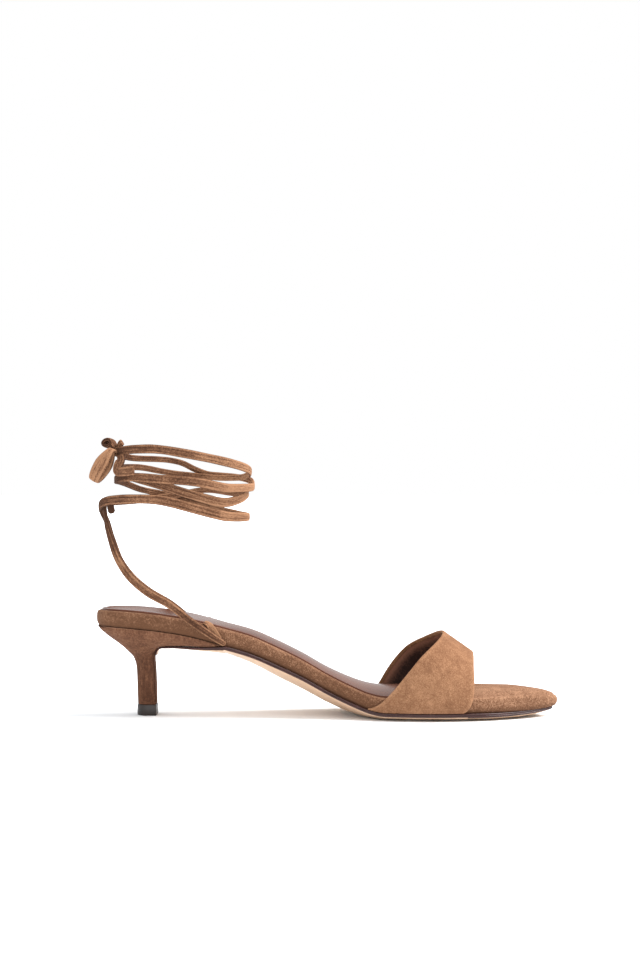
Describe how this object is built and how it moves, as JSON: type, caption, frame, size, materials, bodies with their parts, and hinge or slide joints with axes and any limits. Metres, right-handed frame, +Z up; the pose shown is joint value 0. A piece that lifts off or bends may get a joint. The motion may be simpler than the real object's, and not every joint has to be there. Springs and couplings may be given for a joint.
{
  "type": "ankle strap heel",
  "caption": "Left kitten-heel sandal: open-toe suede vamp band, suede-wrapped footbed, slim covered heel and long ankle ties wound round the ankle and tied in a bow behind it.",
  "frame": {"origin": "on the floor, under the middle of the sandal's length and width, without the bow", "axes": "+X towards the toe, +Y towards the outer side of the foot, +Z up from the floor"},
  "size_m": [0.248, 0.0802, 0.1476],
  "materials": {
    "suede": "napped suede",
    "heel_suede": "napped suede",
    "sole_leather": "smooth sole leather",
    "sock_leather": "satin leather",
    "tip_rubber": "matt"
  },
  "bodies": {
    "root": {"outsole": "sole_leather", "footbed": "suede", "insole": "sock_leather", "vamp": "suede", "heel_block": "heel_suede", "heel_tip": "tip_rubber", "tie_inner": "suede", "tie_outer": "suede", "anchor_inner": "suede", "anchor_outer": "suede", "bow_knot": "suede", "bow_loop_large": "suede", "bow_loop_small": "suede", "tie_end_long": "suede", "tie_end_short": "suede"}
  },
  "joints": []
}
